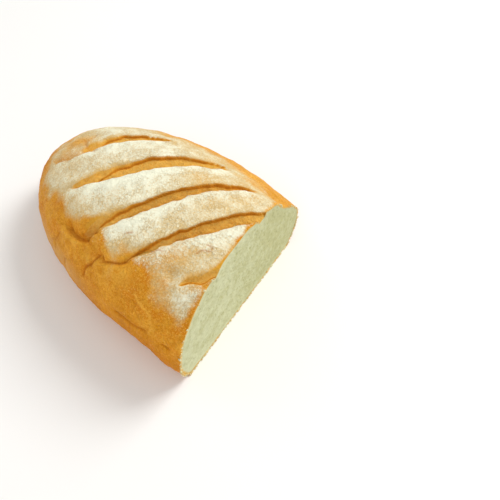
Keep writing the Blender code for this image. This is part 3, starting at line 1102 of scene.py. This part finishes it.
def lumps(places, sizes, rng):
    """Points, faces and tones of small irregular lumps: icosahedra with moved corners.

    Corner k of lump i is place_i + size_i (1 + 0.35 random) stretch_i corner_k.
    """
    gold = (1 + math.sqrt(5)) / 2
    corners = np.array([
        (-1, gold, 0), (1, gold, 0), (-1, -gold, 0), (1, -gold, 0),
        (0, -1, gold), (0, 1, gold), (0, -1, -gold), (0, 1, -gold),
        (gold, 0, -1), (gold, 0, 1), (-gold, 0, -1), (-gold, 0, 1),
    ]) / math.hypot(1, gold)
    triangles = np.array([
        (0, 11, 5), (0, 5, 1), (0, 1, 7), (0, 7, 10), (0, 10, 11), (1, 5, 9), (5, 11, 4),
        (11, 10, 2), (10, 7, 6), (7, 1, 8), (3, 9, 4), (3, 4, 2), (3, 2, 6), (3, 6, 8),
        (3, 8, 9), (4, 9, 5), (2, 4, 11), (6, 2, 10), (8, 6, 7), (9, 8, 1),
    ])
    count = len(places)
    stretch = rng.uniform(0.6, 1.5, (count, 1, 3))
    push = 1 + 0.35 * rng.uniform(-1, 1, (count, 12, 1))
    points = places[:, None] + sizes[:, None, None] * push * stretch * corners
    points = np.clip(points.reshape(-1, 3), np.array(CAD_LOW) + 1e-5, np.array(CAD_HIGH) - 1e-5)
    faces = (triangles[None] + 12 * np.arange(count)[:, None, None]).reshape(-1, 3)
    return points, faces, np.repeat(rng.random(count), 12)


class LOAF_OT_torn_edge(bpy.types.Operator):
    """Makes the torn bits along the edge of the cut face"""
    bl_idname = "loaf.torn_edge"
    bl_label = "Torn edge"

    def execute(self, context):
        looks = context.scene.loaf_crumb
        outline = np.array(context.scene["loaf_outline"]).reshape(-1, 3)
        rng = np.random.default_rng(31)
        places = rim_places(outline, looks.bit_count, 1.6, rng)
        sizes = 0.00020 + 0.00070 * rng.random(len(places)) ** 2.2
        places = places + rng.normal(0, 0.00035, places.shape)
        places[:, 0] = CUT_X + rng.uniform(-0.0003, 0.0006, len(places))
        places[:, 2] = np.maximum(places[:, 2], sizes * 0.6)
        points, faces, tone = lumps(places, sizes, np.random.default_rng(32))
        new_piece("torn_bits", points, faces, {"tone": tone}, bits_material(looks))
        return {"FINISHED"}


# Each soft light: name, place, size in metres, power in watts and colour
LIGHTS = (
    ("key_light", (0.45, 0.95, 1.15), 0.7, 16.5, (1.0, 0.99, 0.965)),
    ("fill_light", (0.35, -1.05, 0.80), 1.1, 4.8, (1.0, 0.99, 0.975)),
    ("end_light", (-1.00, -0.15, 0.90), 1.0, 2.2, (1.0, 0.98, 0.95)),
)
LIGHTS_AIM = (0, 0, 0.04)
WORLD_STRENGTH = 0.50


def make_floor(sizes):
    """A wide pale floor at the height that the loaf lies on."""
    half = 3.0
    corners = [(-half, -half, 0), (half, -half, 0), (half, half, 0), (-half, half, 0)]
    mesh = bpy.data.meshes.new("floor")
    mesh.from_pydata(corners, [], [(0, 1, 2, 3)])
    floor = bpy.data.objects.new("floor", mesh)
    bpy.context.scene.collection.objects.link(floor)
    material, _, shader, _ = new_material("floor", 0.7)
    shader.inputs["Base Color"].default_value = sizes.floor_colour
    mesh.materials.append(material)


def make_light(name, place, size, power, colour):
    """A square area light that looks at the loaf."""
    data = bpy.data.lights.new(name, "AREA")
    data.shape = "SQUARE"
    data.size = size
    data.energy = power
    data.color = colour
    light = bpy.data.objects.new(name, data)
    light.location = place
    towards = Vector(LIGHTS_AIM) - Vector(place)
    light.rotation_euler = towards.to_track_quat("-Z", "Y").to_euler()
    bpy.context.scene.collection.objects.link(light)


def make_world():
    """Even pale light from all round."""
    world = bpy.data.worlds.new("studio")
    world.use_nodes = True
    background = world.node_tree.nodes["Background"]
    background.inputs["Color"].default_value = (1.0, 1.0, 1.0, 1.0)
    background.inputs["Strength"].default_value = WORLD_STRENGTH
    bpy.context.scene.world = world


def make_camera(sizes):
    """The camera at the photograph's place, turned about its own view by the roll."""
    data = bpy.data.cameras.new("camera")
    data.sensor_width = 36.0
    data.lens = sizes.lens
    data.clip_start = 0.01
    camera = bpy.data.objects.new("camera", data)
    place = Vector(sizes.camera_place)
    look = Vector(sizes.camera_aim) - place
    level = look.to_track_quat("-Z", "Y").to_matrix()
    turned = level @ Matrix.Rotation(sizes.camera_roll, 3, "Z")
    camera.matrix_world = Matrix.Translation(place) @ turned.to_4x4()
    bpy.context.scene.collection.objects.link(camera)
    bpy.context.scene.camera = camera


class LOAF_OT_stage(bpy.types.Operator):
    """Makes the pale floor, the soft lights and the camera"""
    bl_idname = "loaf.stage"
    bl_label = "Stage"

    def execute(self, context):
        scene = context.scene
        make_floor(scene.loaf_stage)
        for light in LIGHTS:
            make_light(*light)
        make_world()
        make_camera(scene.loaf_stage)
        scene.view_settings.view_transform = "Standard"
        return {"FINISHED"}


class LOAF_PT_panel(bpy.types.Panel):
    """The loaf's sizes, colours and operators"""
    bl_idname = "LOAF_PT_panel"
    bl_label = "Cut loaf of bread"
    bl_space_type = "VIEW_3D"
    bl_region_type = "UI"
    bl_category = "Loaf"

    def draw(self, context):
        column = self.layout.column()
        for holder, group in GROUPS.items():
            column.label(text=group.__doc__)
            for name in group.__annotations__:
                column.prop(getattr(context.scene, holder), name)
        for operator in OPERATORS:
            column.operator(operator.bl_idname)


GROUPS = {
    "loaf_sizes": LoafSizes,
    "loaf_slash": SlashShape,
    "loaf_crust": CrustLooks,
    "loaf_crumb": CrumbLooks,
    "loaf_stage": StageSizes,
}
OPERATORS = (LOAF_OT_crust_and_crumb, LOAF_OT_torn_edge, LOAF_OT_stage)


def register():
    for group in GROUPS.values():
        bpy.utils.register_class(group)
    for holder, group in GROUPS.items():
        setattr(bpy.types.Scene, holder, bpy.props.PointerProperty(type=group))
    for operator in OPERATORS:
        bpy.utils.register_class(operator)
    bpy.utils.register_class(LOAF_PT_panel)


def unregister():
    bpy.utils.unregister_class(LOAF_PT_panel)
    for operator in reversed(OPERATORS):
        bpy.utils.unregister_class(operator)
    for holder, group in GROUPS.items():
        delattr(bpy.types.Scene, holder)
        bpy.utils.unregister_class(group)


def main():
    register()
    bpy.ops.loaf.crust_and_crumb()
    bpy.ops.loaf.torn_edge()
    bpy.ops.loaf.stage()


if __name__ == "__main__":
    main()
